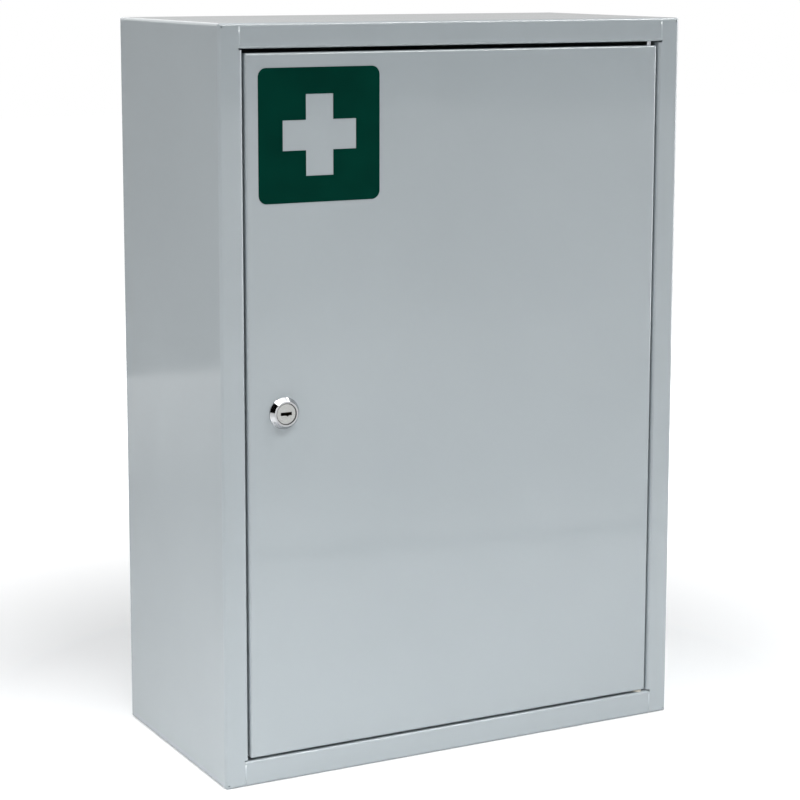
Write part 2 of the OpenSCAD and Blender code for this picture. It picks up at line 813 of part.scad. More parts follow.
// Plug with its head, keyway, wafer slots and square shank
module lock_plug() {
  color(chrome) at_lock() difference() {
    union() {
      translate([0, 0, head_floor_z]) cylinder(h = plug_head_t, d = plug_head_dia);
      translate([0, 0, plug_end_z]) cylinder(h = head_floor_z - plug_end_z, d = plug_dia);
      translate([0, 0, shank_end_z]) linear_extrude(plug_end_z - shank_end_z)
        square(shank_w, center = true);
    }
    translate([-keyway_l / 2, -keyway_h / 2, keyway_floor_z])
      cube([keyway_l, keyway_h, keyway_depth + past]);
    translate([keyway_notch_x, -keyway_h / 2, keyway_floor_z])
      cylinder(h = keyway_depth + past, d = keyway_notch_dia);
    for (i = [0 : wafer_count - 1])
      translate([0, 0, -wafer_start - i * wafer_pitch])
        cube([plug_dia + past, wafer_w + 2 * wafer_gap, wafer_t + 2 * wafer_gap], center = true);
    translate([0, 0, shank_end_z - past])
      cylinder(h = screw_hole_end_z - shank_end_z + past, d = screw_dia + 2 * seat_gap);
  }
}

// Brass wafers, all drawn back inside the plug as with the key in
module lock_wafers() {
  window_l = keyway_l - 2 * wafer_window_inset;
  window_h = keyway_h + 2 * wafer_window_gap;
  color(brass) at_lock() for (i = [0 : wafer_count - 1])
    translate([0, 0, -wafer_start - i * wafer_pitch]) linear_extrude(wafer_t, center = true)
      difference() {
        intersection() {
          circle(plug_dia / 2 - wafer_gap);
          square([plug_dia, wafer_w], center = true);
        }
        translate([(i % 3 - 1) * wafer_step, 0]) square([window_l, window_h], center = true);
      }
}

// Disc on the square shank whose tab runs between the ends of the barrel's lug
module lock_stop_washer() {
  tab_half = stop_tab_angle / 2;
  color(zinc) at_lock() translate([0, 0, stop_z]) linear_extrude(stop_t) difference() {
    union() {
      circle(stop_disc_r);
      intersection() {
        circle(barrel_flats / 2 - turn_gap);
        sector(90 - tab_half, 90 + tab_half, barrel_dia);
      }
    }
    square(shank_w + 2 * seat_gap, center = true);
  }
}

// Cam with a round foot and round corners, upright while the lock is open
module lock_cam() {
  corner_r = cam_w / 4;
  color(zinc) at_lock() translate([0, 0, cam_rear_z]) linear_extrude(cam_t) difference() {
    union() {
      circle(cam_w / 2);
      translate([0, cam_l / 2]) square([cam_w, cam_l - 2 * corner_r], center = true);
      translate([0, cam_l / 2]) square([cam_w - 2 * corner_r, cam_l], center = true);
      for (side = [-1, 1]) translate([side * corner_r, cam_l - corner_r]) circle(corner_r);
    }
    square(shank_w + 2 * seat_gap, center = true);
  }
}

module cam_washer() {
  color(zinc) at_lock() translate([0, 0, cam_rear_z - cam_washer_t]) difference() {
    cylinder(h = cam_washer_t, d = cam_washer_dia);
    translate([0, 0, -past]) cylinder(h = cam_washer_t + 2 * past, d = screw_dia + 2 * seat_gap);
  }
}

// Pan-head screw with a cross recess
module cam_screw() {
  seat_z = cam_rear_z - cam_washer_t;
  face_z = seat_z - screw_head_t;
  color(zinc) at_lock() difference() {
    union() {
      translate([0, 0, seat_z - join_w])
        cylinder(h = screw_hole_end_z - screw_end_gap - seat_z + join_w, d = screw_dia);
      translate([0, 0, face_z + screw_dome_t])
        cylinder(h = screw_head_t - screw_dome_t, d = screw_head_dia);
      translate([0, 0, face_z])
        cylinder(h = screw_dome_t, d1 = screw_head_dia - 2 * screw_dome_t, d2 = screw_head_dia);
    }
    for (turn = [0, 90]) rotate(turn) translate([-recess_l / 2, -recess_w / 2, face_z - past])
      cube([recess_l, recess_w, recess_depth + past]);
  }
}

left_side_panel();
right_side_panel();
top_panel();
bottom_panel();
back_panel();
upper_hinge_gusset();
lower_hinge_gusset();
upper_hinge_bush();
lower_hinge_bush();
front_left_upright();
rear_left_upright();
front_right_upright();
rear_right_upright();
lower_shelf();
upper_shelf();
lower_shelf_clips();
upper_shelf_clips();
door_stop_brackets();
door_stop_buffers();
door_skin();
door_stiffener();
upper_pivot_plate();
lower_pivot_plate();
upper_pivot_pin();
lower_pivot_pin();
lock_housing();
lock_tooth_washer();
lock_nut();
lock_plug();
lock_wafers();
lock_stop_washer();
lock_cam();
cam_washer();
cam_screw();
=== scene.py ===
"""Finishes, sign film, welds, lock thread and studio for a lockable medicine cabinet of sheet steel.

Lengths are in metres. X runs to the right, -Y points out of the front and +Z is up.
"""

import json
import math

import bmesh
import bpy
from bpy.props import FloatProperty, FloatVectorProperty, PointerProperty
from mathutils import Matrix, Vector
from mathutils.geometry import tessellate_polygon


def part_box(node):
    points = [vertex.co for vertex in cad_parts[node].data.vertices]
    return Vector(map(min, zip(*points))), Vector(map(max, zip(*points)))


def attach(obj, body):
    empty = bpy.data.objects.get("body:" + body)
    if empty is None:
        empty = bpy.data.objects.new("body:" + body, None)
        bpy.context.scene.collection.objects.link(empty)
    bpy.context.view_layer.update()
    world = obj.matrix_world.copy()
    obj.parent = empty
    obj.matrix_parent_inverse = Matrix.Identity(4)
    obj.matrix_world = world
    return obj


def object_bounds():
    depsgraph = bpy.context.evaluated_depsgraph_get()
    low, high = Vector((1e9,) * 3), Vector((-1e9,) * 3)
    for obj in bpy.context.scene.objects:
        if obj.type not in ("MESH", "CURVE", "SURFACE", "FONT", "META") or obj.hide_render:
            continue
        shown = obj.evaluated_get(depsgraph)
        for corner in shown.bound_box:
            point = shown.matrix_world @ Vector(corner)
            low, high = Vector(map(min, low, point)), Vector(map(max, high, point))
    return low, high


bl_info = {
    "name": "Medicine cabinet",
    "version": (1, 0, 0),
    "blender": (4, 5, 0),
    "location": "View3D > Sidebar > Cabinet",
    "description": "Finishes, sign film, welds, lock thread and studio for a lockable wall cabinet",
    "category": "Object",
}

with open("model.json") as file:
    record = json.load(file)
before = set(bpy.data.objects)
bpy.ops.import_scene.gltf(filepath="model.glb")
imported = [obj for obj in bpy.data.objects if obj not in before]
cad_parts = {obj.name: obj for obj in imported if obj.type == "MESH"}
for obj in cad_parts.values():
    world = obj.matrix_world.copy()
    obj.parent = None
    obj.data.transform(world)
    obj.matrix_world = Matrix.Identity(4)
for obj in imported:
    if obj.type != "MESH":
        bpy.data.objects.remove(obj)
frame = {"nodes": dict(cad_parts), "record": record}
cad_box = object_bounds()

# The lock's axis runs along Y through the middle of its plug
PLUG_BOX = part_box("lock_plug")
HOUSING_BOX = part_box("lock_housing")
LOCK_X = (HOUSING_BOX[0].x + HOUSING_BOX[1].x) / 2
LOCK_Z = (HOUSING_BOX[0].z + HOUSING_BOX[1].z) / 2
DOOR_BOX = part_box("door_skin")
NUT_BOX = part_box("lock_nut")
TOP_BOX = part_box("top_panel")
BOTTOM_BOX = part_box("bottom_panel")
FRONT_Y = DOOR_BOX[0].y
# The plug's head runs in a ring that is this much wider than the head
HEAD_RADIUS = (PLUG_BOX[1].x - PLUG_BOX[0].x) / 2
HOUSING_RING = HEAD_RADIUS + 0.0002
# Half the length and half the height of the keyway
KEYWAY_HALVES = (0.0043, 0.001)
# Thickness of the painted sheets
SHEET = 0.001


def linear_colour(code):
    """Linear RGBA of an sRGB hex value such as #B5BABC."""
    channels = [int(code[i:i + 2], 16) / 255 for i in (1, 3, 5)]
    return tuple(c / 12.92 if c <= 0.04045 else ((c + 0.055) / 1.055) ** 2.4 for c in channels) + (1.0,)


def length(name, description, default):
    return FloatProperty(name=name, description=description, default=default, precision=5,
                         unit="LENGTH", subtype="DISTANCE")


def colour(name, description, code):
    return FloatVectorProperty(name=name, description=description, size=4, min=0, max=1,
                               default=linear_colour(code), subtype="COLOR")


def factor(name, description, default):
    return FloatProperty(name=name, description=description, default=default, min=0, max=1,
                         subtype="FACTOR")


class PaintSettings(bpy.types.PropertyGroup):
    light: colour("Light tone", "Powder coat where it lies thickest", "#ADB5B9")
    dark: colour("Dark tone", "Powder coat where it lies thinnest", "#A9B1B5")
    roughness: factor("Roughness", "Roughness of the stoved powder coat", 0.08)
    peel_size: length("Peel size", "Width of one swell of the orange peel", 0.0022)
    peel_depth: length("Peel depth", "Height of the orange peel", 0.000003)
    cloud_size: length("Cloud size", "Width of the slow changes in tone", 0.16)


class MetalSettings(bpy.types.PropertyGroup):
    zinc: colour("Zinc", "Bright zinc plate", "#B9BCC0")
    zinc_dark: colour("Zinc spangle", "Darker grain of the zinc plate", "#9B9EA3")
    chrome: colour("Chrome", "Polished chrome plate", "#B6B7B9")
    plug: colour("Plug", "Turned nickel plate of the plug's face", "#BABBB9")
    # This dark tone is painted shade: the groove round the plug's head, the rim of the plug's face and
    # the keyway are darkened with it to stand in for their shade
    painted_shade_tone: colour("Painted shade", "Oil and dust in the keyway and round the plug", "#1C1B1A")
    # This dark brass tone is painted shade: it stands in for the shade inside the keyway
    brass: colour("Brass", "Stamped brass of the wafers, darkened by oil", "#4A3D26")
    turning_pitch: length("Turning pitch", "Distance between the turned lines of the plug", 0.00042)
    grain_size: length("Grain size", "Width of the zinc plate's grain", 0.0009)
    grain_depth: length("Grain depth", "Height of the zinc plate's grain", 0.00002)
    scuff_size: length("Scuff size", "Width of the scuffs on the chrome", 0.0007)
    # Widths of the painted shade on the plug's face: a ring at its rim for the groove's shade, a halo for
    # the shade at the keyway's mouth, and the fade of both
    rim_shade_width: length("Rim shade width", "Width of the dirt ring on the plug's face", 0.0007)
    mouth_shade_width: length("Mouth shade width", "Width of the dirt round the keyway", 0.0001)
    shade_fade: length("Shade fade", "Width over which the dirt on the plug thins out", 0.0003)


class PlasticSettings(bpy.types.PropertyGroup):
    nylon: colour("Nylon", "Natural nylon of the hinge bushes", "#DCD8CC")
    rubber: colour("Rubber", "Black rubber of the door's buffers", "#232427")
    skin_size: length("Skin size", "Width of the moulded skin's grain", 0.0006)


class SignSettings(bpy.types.PropertyGroup):
    side: length("Side", "Length of the square film's sides", 0.0995)
    corner: length("Corner", "Radius of the film's corners", 0.0065)
    from_left: length("From left", "Distance of the film from the door's left edge", 0.0100)
    from_top: length("From top", "Distance of the film from the door's top edge", 0.0108)
    arm_length: length("Arm length", "Length of the cross from end to end", 0.0602)
    arm_width: length("Arm width", "Width of the cross's arms", 0.0224)
    thickness: length("Thickness", "Thickness of the film", 0.00016)
    green: colour("Green", "Film as it is dyed", "#00382D")
    deep_green: colour("Deep green", "Film where its dye is denser", "#002F26")
    dye_size: length("Dye size", "Width of the slow changes in the dye", 0.05)
    swell_size: length("Swell size", "Width of one swell of the film", 0.003)
    swell_depth: length("Swell depth", "Height of the film's swells", 0.000004)


class WeldSettings(bpy.types.PropertyGroup):
    mark_radius: length("Mark radius", "Radius of a spot weld's mark", 0.0022)
    mark_rim: length("Mark rim", "Radius of the rim round a spot weld's mark", 0.00035)
    foot: length("Foot", "Distance of the welds from the sides of an upright", 0.0022)
    upright_end: length("Upright end", "Distance of the first weld from an upright's end", 0.015)
    upright_pitch: length("Upright pitch", "Distance from weld to weld on the uprights", 0.07)
    flange_inset: length("Flange inset", "Distance of the rear welds from the cabinet's edges", 0.009)
    flange_end: length("Flange end", "Distance of the first rear weld from the back panel's corner", 0.04)
    flange_pitch: length("Flange pitch", "Distance from weld to weld on flanges and stiffener", 0.06)
    stiffener_inset: length("Stiffener inset", "Distance of the welds from the stiffener's sides", 0.004)
    stiffener_end: length("Stiffener end", "Distance of the first weld from the stiffener's end", 0.02)
    seam_inset: length("Seam inset", "Distance of the rail seams from the door opening's sides", 0.0032)
    stile_width: length("Stile width", "Face width of the stiles", 0.0192)
    bend: length("Bend", "Outer radius of the carcass bends", 0.0025)
    seam_width: length("Seam width", "Width of a ground rail seam", 0.0012)
    seam_height: length("Seam height", "Height of a ground rail seam", 0.00002)
    # The seam paint is made lighter as a painted highlight, standing in for the light the ground seam
    # catches
    seam_painted_highlight: FloatProperty(name="Seam painted highlight", default=1.12,
                              description="How much lighter the paint is over a ground seam")


class ThreadSettings(bpy.types.PropertyGroup):
    pitch: length("Pitch", "Distance from turn to turn of the barrel's thread", 0.001)
    ridge: length("Ridge", "Height of the thread over the barrel", 0.00028)
    radius: length("Radius", "Radius of the barrel", 0.0095)
    flats: length("Flats", "Distance across the barrel's flats", 0.016)


class StudioSettings(bpy.types.PropertyGroup):
    focal_length: FloatProperty(name="Focal length", default=102.08, unit="CAMERA",
                                description="Focal length of the camera in millimetres")
    azimuth: FloatProperty(name="Azimuth", description="Direction of the camera round the cabinet",
                           default=math.radians(-27.97), subtype="ANGLE")
    elevation: FloatProperty(name="Elevation", description="Direction of the camera above the horizon",
                             default=math.radians(9.026), subtype="ANGLE")
    roll: FloatProperty(name="Roll", description="Turn of the camera about its view",
                        default=math.radians(0.10), subtype="ANGLE")
    distance: length("Distance", "Distance of the camera from the cabinet's middle", 1.846)
    raised: length("Raised", "How far the camera stands above the line to the cabinet's middle", 0.0436)
    shift: FloatProperty(name="Shift", description="Upward shift of the lens, in widths of the picture",
                         default=-0.1)
    floor: colour("Floor", "Pale studio floor", "#EEEFF0")
    floor_size: length("Floor size", "Side of the studio floor", 14.0)
    floor_lift: FloatProperty(name="Floor lift", default=0.12,
                              description="Glow that takes the floor's picture up to white")
    ambient: FloatProperty(name="Ambient", default=0.36,
                           description="Brightness of the room's even light")


def add_node(tree, kind, inputs=None, **settings):
    """Adds one node. A socket among the inputs is linked, and any other value is set."""
    node = tree.nodes.new(kind)
    for name, value in settings.items():
        setattr(node, name, value)
    for key, value in (inputs or {}).items():
        if isinstance(value, bpy.types.NodeSocket):
            tree.links.new(value, node.inputs[key])
        else:
            node.inputs[key].default_value = value
    return node


def new_material(name):
    """Empty material with its output, its surface shader and the object's own coordinates."""
    material = bpy.data.materials.new(name)
    material.use_nodes = True
    tree = material.node_tree
    tree.nodes.clear()
    shader = add_node(tree, "ShaderNodeBsdfPrincipled")
    add_node(tree, "ShaderNodeOutputMaterial", {"Surface": shader.outputs["BSDF"]})
    place = add_node(tree, "ShaderNodeTexCoord").outputs["Object"]
    return material, tree, shader, place


def noise(tree, place, size, detail=2.0):
    """Noise whose swells are as wide as size."""
    inputs = {"Vector": place, "Scale": 1 / size, "Detail": detail}
    return add_node(tree, "ShaderNodeTexNoise", inputs).outputs["Fac"]


def blend_colours(tree, amount, low, high):
    inputs = {0: amount, 6: low, 7: high}
    return add_node(tree, "ShaderNodeMix", inputs, data_type="RGBA").outputs[2]


def combine(tree, operation, first, second):
    """Result of one maths operation on two values."""
    return add_node(tree, "ShaderNodeMath", {0: first, 1: second}, operation=operation).outputs[0]


def spread(tree, value, low, high, start=0.3, end=0.7):
    """Value from start to end, stretched over low to high."""
    inputs = {"Value": value, "From Min": start, "From Max": end, "To Min": low, "To Max": high}
    return add_node(tree, "ShaderNodeMapRange", inputs).outputs["Result"]


def bump(tree, height, depth, strength=1.0):
    inputs = {"Height": height, "Distance": depth, "Strength": strength}
    return add_node(tree, "ShaderNodeBump", inputs).outputs["Normal"]


def shaded(tone, shade):
    """Linear colour made lighter or darker by a factor."""
    return [channel * shade for channel in tone[:3]] + [1]


def powder_coated_steel(paint, name="powder_coated_steel", shade=1.0):
    """Polyester powder, sprayed and stoved: an even gloss over a very shallow orange peel."""
    material, tree, shader, place = new_material(name)
    clouds = spread(tree, noise(tree, place, paint.cloud_size, 3.0), 0, 1)
    peel = noise(tree, place, paint.peel_size, 1.0)
    # A shade above 1 lightens the paint, as for the painted highlight on the rail seams
    tones = shaded(paint.dark, shade), shaded(paint.light, shade)
    tree.links.new(blend_colours(tree, clouds, *tones), shader.inputs["Base Color"])
    rough = spread(tree, clouds, paint.roughness - 0.01, paint.roughness + 0.01, 0, 1)
    tree.links.new(rough, shader.inputs["Roughness"])
    tree.links.new(bump(tree, peel, paint.peel_depth), shader.inputs["Normal"])
    shader.inputs["IOR"].default_value = 1.5
    return material


def bright_zinc_plate(metal):
    """Steel pressings in barrelled zinc plate: a fine mottled grain with soft, broken reflections."""
    material, tree, shader, place = new_material("bright_zinc_plate")
    grain = noise(tree, place, metal.grain_size, 4.0)
    patches = spread(tree, noise(tree, place, 12 * metal.grain_size, 2.0), 0, 1)
    tree.links.new(blend_colours(tree, patches, metal.zinc_dark, metal.zinc), shader.inputs["Base Color"])
    tree.links.new(spread(tree, grain, 0.24, 0.4), shader.inputs["Roughness"])
    tree.links.new(bump(tree, grain, metal.grain_depth, 0.6), shader.inputs["Normal"])
    shader.inputs["Metallic"].default_value = 1.0
    return material


def from_lock(tree, place):
    """Place as seen from the lock's axis."""
    inputs = {0: place, 1: (LOCK_X, 0, LOCK_Z)}
    return add_node(tree, "ShaderNodeVectorMath", inputs, operation="SUBTRACT").outputs[0]


def off_axis(tree, place):
    """Distance from the lock's axis."""
    inputs = {0: from_lock(tree, place), 1: (1, 0, 1)}
    flat = add_node(tree, "ShaderNodeVectorMath", inputs, operation="MULTIPLY").outputs[0]
    return add_node(tree, "ShaderNodeVectorMath", {0: flat}, operation="LENGTH").outputs["Value"]


def off_keyway(tree, place):
    """Distance from the edge of the keyway, and below zero inside it."""
    parts = add_node(tree, "ShaderNodeSeparateXYZ", {0: from_lock(tree, place)}).outputs
    gaps = []
    for part, half in zip((parts["X"], parts["Z"]), KEYWAY_HALVES):
        size = add_node(tree, "ShaderNodeMath", {0: part}, operation="ABSOLUTE").outputs[0]
        gaps.append(combine(tree, "SUBTRACT", size, half))
    return combine(tree, "MAXIMUM", *gaps)


def polished_chrome_plate(metal):
    """Turned zinc casting, buffed and chromed: mirror-bright with faint handling scuffs."""
    material, tree, shader, place = new_material("polished_chrome_plate")
    scuffs = noise(tree, place, metal.scuff_size, 5.0)
    depth = add_node(tree, "ShaderNodeSeparateXYZ", {0: place}).outputs["Y"]
    # Painted shade: the chrome darkens on the ring's inner wall behind the plug's face, standing in for
    # the shade in the narrow groove
    rim = spread(tree, off_axis(tree, place), 1, 0, HOUSING_RING, HOUSING_RING + 0.0002)
    sunk = spread(tree, depth, 0, 1, PLUG_BOX[0].y - 0.0002, PLUG_BOX[0].y + 0.0004)
    painted_shade = combine(tree, "MULTIPLY", rim, sunk)
    tree.links.new(blend_colours(tree, painted_shade, metal.chrome, metal.painted_shade_tone), shader.inputs["Base Color"])
    tree.links.new(spread(tree, scuffs, 0.04, 0.09), shader.inputs["Roughness"])
    shader.inputs["Metallic"].default_value = 1.0
    return material


def turned_nickel_plate(metal):
    """Plug whose face was turned on a lathe: fine rings about its axis, under dull nickel plate."""
    material, tree, shader, place = new_material("turned_nickel_plate")
    turns = combine(tree, "DIVIDE", off_axis(tree, place), metal.turning_pitch)
    rings = add_node(tree, "ShaderNodeTexNoise", {"W": turns, "Scale": 1.0, "Detail": 2.0},
                     noise_dimensions="1D").outputs["Fac"]
    # Painted shade: the plug darkens at the rim of its face beside the groove, round the keyway's mouth
    # and deep in the keyway, where it also stands for oil and graphite
    depth = add_node(tree, "ShaderNodeSeparateXYZ", {0: place}).outputs["Y"]
    deep = spread(tree, depth, 0, 1, PLUG_BOX[0].y + 0.0003, PLUG_BOX[0].y + 0.0012)
    edge = HEAD_RADIUS - metal.rim_shade_width
    rim = spread(tree, off_axis(tree, place), 0, 0.75, edge, edge + metal.shade_fade)
    edge = metal.mouth_shade_width
    mouth = spread(tree, off_keyway(tree, place), 1, 0, edge, edge + metal.shade_fade)
    painted_shade = combine(tree, "MAXIMUM", combine(tree, "MAXIMUM", rim, mouth), deep)
    tree.links.new(blend_colours(tree, painted_shade, metal.plug, metal.painted_shade_tone), shader.inputs["Base Color"])
    tree.links.new(spread(tree, rings, 0.22, 0.36), shader.inputs["Roughness"])
    tree.links.new(bump(tree, rings, 0.00003, 0.5), shader.inputs["Normal"])
    shader.inputs["Metallic"].default_value = 1.0
    return material


def stamped_brass(metal):
    """Wafers stamped from brass strip: warm, slightly dulled and drawn along the strip."""
    material, tree, shader, place = new_material("stamped_brass")
    drawn = add_node(tree, "ShaderNodeMapping", {"Vector": place, "Scale": (1, 1, 6)}).outputs["Vector"]
    grain = noise(tree, drawn, 0.001, 3.0)
    # The brass is darkened as painted shade, standing in for the shade inside the keyway
    shader.inputs["Base Color"].default_value = metal.brass
    tree.links.new(spread(tree, grain, 0.25, 0.4), shader.inputs["Roughness"])
    shader.inputs["Metallic"].default_value = 1.0
    return material


def moulded_plastic(name, tone, rough, ior, grain_size):
    """Moulded part with the fine skin of its mould: even tone, slightly uneven sheen."""
    material, tree, shader, place = new_material(name)
    skin = noise(tree, place, grain_size, 3.0)
    shade = blend_colours(tree, spread(tree, skin, 0, 1), shaded(tone, 0.9), tone)
    tree.links.new(shade, shader.inputs["Base Color"])
    tree.links.new(spread(tree, skin, rough - 0.05, rough + 0.05), shader.inputs["Roughness"])
    tree.links.new(bump(tree, skin, 0.00001), shader.inputs["Normal"])
    shader.inputs["IOR"].default_value = ior
    return material


def green_vinyl_film(sign):
    """Calendered vinyl, dyed through and cut by plotter: deep and even, with hardly any gloss."""
    material, tree, shader, place = new_material("green_vinyl_film")
    depth = spread(tree, noise(tree, place, sign.dye_size, 2.0), 0, 1)
    swell = noise(tree, place, sign.swell_size, 1.0)
    tree.links.new(blend_colours(tree, depth, sign.deep_green, sign.green), shader.inputs["Base Color"])
    tree.links.new(spread(tree, swell, 0.3, 0.36), shader.inputs["Roughness"])
    tree.links.new(bump(tree, swell, sign.swell_depth), shader.inputs["Normal"])
    shader.inputs["IOR"].default_value = 1.5
    shader.inputs["Specular IOR Level"].default_value = 0.02
    return material


def ways_of_seeing(tree):
    """One where the camera looks straight, and one where it sees in gloss or through glass."""
    path = add_node(tree, "ShaderNodeLightPath").outputs
    mirrored = combine(tree, "MAXIMUM", path["Is Glossy Ray"], path["Is Transmission Ray"])
    return path["Is Camera Ray"], mirrored


def studio_floor(studio):
    """Matt paper sweep: lit paper that holds the cabinet's shadow, and white as the backdrop far off."""
    material, tree, shader, place = new_material("studio_paper")
    fibres = noise(tree, place, 0.004, 3.0)
    away = add_node(tree, "ShaderNodeVectorMath", {0: place}, operation="LENGTH").outputs["Value"]
    far = spread(tree, away, 0, 1, 1.3, 2.6)
    straight, mirrored = ways_of_seeing(tree)
    faded = combine(tree, "MULTIPLY", combine(tree, "MAXIMUM", straight, mirrored), far)
    paper = blend_colours(tree, fibres, shaded(studio.floor, 0.985), list(studio.floor))
    tree.links.new(blend_colours(tree, faded, paper, (0, 0, 0, 1)), shader.inputs["Base Color"])
    shader.inputs["Roughness"].default_value = 0.9
    shader.inputs["Specular IOR Level"].default_value = 0.1
    shader.inputs["Emission Color"].default_value = (1, 1, 1, 1)
    near_glow = spread(tree, away, studio.floor_lift, 1.0, 0.35, 1.0)
    far_glow = spread(tree, away, studio.floor_lift, 1.0, 1.0, 2.0)
    in_picture = combine(tree, "MULTIPLY", straight, near_glow)
    in_gloss = combine(tree, "MULTIPLY", mirrored, far_glow)
    tree.links.new(combine(tree, "ADD", in_picture, in_gloss), shader.inputs["Emission Strength"])
    return material


def dress(node_names, material):
    """Gives CAD nodes a finish through their own material slots."""
    for name in node_names:
        for slot in frame["nodes"][name].material_slots:
            slot.link = "OBJECT"
            slot.material = material


def new_piece(name, mesh, material, body):
    """Object at the origin for a finished mesh, riding on a CAD body."""
    piece = bpy.data.objects.new(name, mesh)
    bpy.context.scene.collection.objects.link(piece)
    mesh.materials.append(material)
    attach(piece, body)


def nodes_in_slot(slot):
    return [part["node"] for part in frame["record"]["subparts"] if part.get("material_slot") == slot]


class CABINET_OT_sheet_metal(bpy.types.Operator):
    """Paints every folded sheet of the carcass, the door and the shelves"""
    bl_idname = "cabinet.sheet_metal"
    bl_label = "Painted sheet"

    def execute(self, context):
        dress(nodes_in_slot("painted_sheet"), powder_coated_steel(context.scene.cabinet_paint))
        return {"FINISHED"}


class CABINET_OT_metal_parts(bpy.types.Operator):
    """Plates the hinge, shelf and lock parts in zinc, chrome, nickel and brass"""
    bl_idname = "cabinet.metal_parts"
    bl_label = "Plated parts"

    def execute(self, context):
        metal = context.scene.cabinet_metal
        dress(nodes_in_slot("zinc_steel"), bright_zinc_plate(metal))
        dress(["lock_housing"], polished_chrome_plate(metal))
        dress(["lock_plug"], turned_nickel_plate(metal))
        dress(nodes_in_slot("brass"), stamped_brass(metal))
        return {"FINISHED"}


class CABINET_OT_plastic_parts(bpy.types.Operator):
    """Gives the hinge bushes their nylon and the door's buffers their rubber"""
    bl_idname = "cabinet.plastic_parts"
    bl_label = "Plastic and rubber parts"

    def execute(self, context):
        plastic = context.scene.cabinet_plastic
        nylon = moulded_plastic("moulded_nylon", plastic.nylon, rough=0.42, ior=1.53,
                                grain_size=plastic.skin_size)
        rubber = moulded_plastic("moulded_rubber", plastic.rubber, rough=0.7, ior=1.52,
                                 grain_size=plastic.skin_size)
        dress(nodes_in_slot("nylon"), nylon)
        dress(nodes_in_slot("rubber"), rubber)
        return {"FINISHED"}


def arc(centre, radius, start, end, steps):
    """Points in X and Z on an arc, with angles in degrees."""
    angles = [math.radians(start + (end - start) * i / steps) for i in range(steps + 1)]
    return [(centre[0] + radius * math.cos(a), centre[1] + radius * math.sin(a)) for a in angles]


def rounded_square(centre, side, corner):
    """Outline in X and Z of a square with round corners."""
    reach = side / 2 - corner
    points = []
    for quarter, (sx, sz) in enumerate([(1, 1), (-1, 1), (-1, -1), (1, -1)]):
        middle = (centre[0] + sx * reach, centre[1] + sz * reach)
        points += arc(middle, corner, 90 * quarter, 90 * quarter + 90, 12)
    return points


def upright_cross(centre, arm_length, arm_width):
    """Outline in X and Z of a cross, made of one arm turned four times."""
    a, b = arm_length / 2, arm_width / 2
    arm = [(a, -b), (a, b), (b, b)]
    points = []
    for c, s in ((1, 0), (0, 1), (-1, 0), (0, -1)):
        points += [(centre[0] + c * x - s * z, centre[1] + s * x + c * z) for x, z in arm]
    return points


def film_mesh(name, outer, inner, rear_y, thickness):
    """Flat film in X and Z with a cut-out, its rear face at rear_y."""
    mesh = bpy.data.meshes.new(name)
    bm = bmesh.new()
    layers = []
    for y in (rear_y, rear_y - thickness):
        layers.append([[bm.verts.new((x, y, z)) for x, z in loop] for loop in (outer, inner)])
    flat = [[Vector((x, z, 0)) for x, z in loop] for loop in (outer, inner)]
    for loops in layers:
        verts = loops[0] + loops[1]
        for triangle in tessellate_polygon(flat):
            bm.faces.new([verts[i] for i in triangle])
    for rear, front in zip(*layers):
        for i in range(len(rear)):
            j = (i + 1) % len(rear)
            bm.faces.new((rear[i], rear[j], front[j], front[i]))
    bmesh.ops.recalc_face_normals(bm, faces=bm.faces)
    bm.to_mesh(mesh)
    bm.free()
    return mesh


class CABINET_OT_sign(bpy.types.Operator):
    """Sticks the green first-aid film with its cut-out cross on the door"""
    bl_idname = "cabinet.sign"
    bl_label = "First-aid sign"

    def execute(self, context):
        sign = context.scene.cabinet_sign
        centre = (DOOR_BOX[0].x + sign.from_left + sign.side / 2,
                  DOOR_BOX[1].z - sign.from_top - sign.side / 2)
        outer = rounded_square(centre, sign.side, sign.corner)
        inner = upright_cross(centre, sign.arm_length, sign.arm_width)
        mesh = film_mesh("first_aid_sign", outer, inner, FRONT_Y, sign.thickness)
        new_piece("first_aid_sign", mesh, green_vinyl_film(sign), "door")
        return {"FINISHED"}


def grow(piece, tree, values):
    """Runs a node tree on a piece's points and keeps the result as its plain mesh."""
    modifier = piece.modifiers.new("Grow", "NODES")
    modifier.node_group = tree
    for item in tree.interface.items_tree:
        if item.in_out == "INPUT" and item.name in values:
            modifier[item.identifier] = values[item.name]
    evaluated = piece.evaluated_get(bpy.context.evaluated_depsgraph_get())
    mesh = bpy.data.meshes.new_from_object(evaluated)
    piece.modifiers.remove(modifier)
    piece.data = mesh
    return mesh


def new_tree(name, sockets):
    """Geometry node tree with a geometry in and out, and one named input for each of its sizes."""
    tree = bpy.data.node_groups.new(name, "GeometryNodeTree")
    tree.interface.new_socket("Geometry", in_out="INPUT", socket_type="NodeSocketGeometry")
    for socket, kind in sockets.items():
        tree.interface.new_socket(socket, in_out="INPUT", socket_type=kind)
    tree.interface.new_socket("Geometry", in_out="OUTPUT", socket_type="NodeSocketGeometry")
    return tree, add_node(tree, "NodeGroupInput").outputs


def end_tree(tree, geometry, material):
    """Makes the instances real, gives them their finish and ends the tree."""
    real = add_node(tree, "GeometryNodeRealizeInstances", {"Geometry": geometry}).outputs["Geometry"]
    done = add_node(tree, "GeometryNodeSetMaterial", {"Geometry": real, "Material": material})
    add_node(tree, "NodeGroupOutput", {"Geometry": done.outputs["Geometry"]})


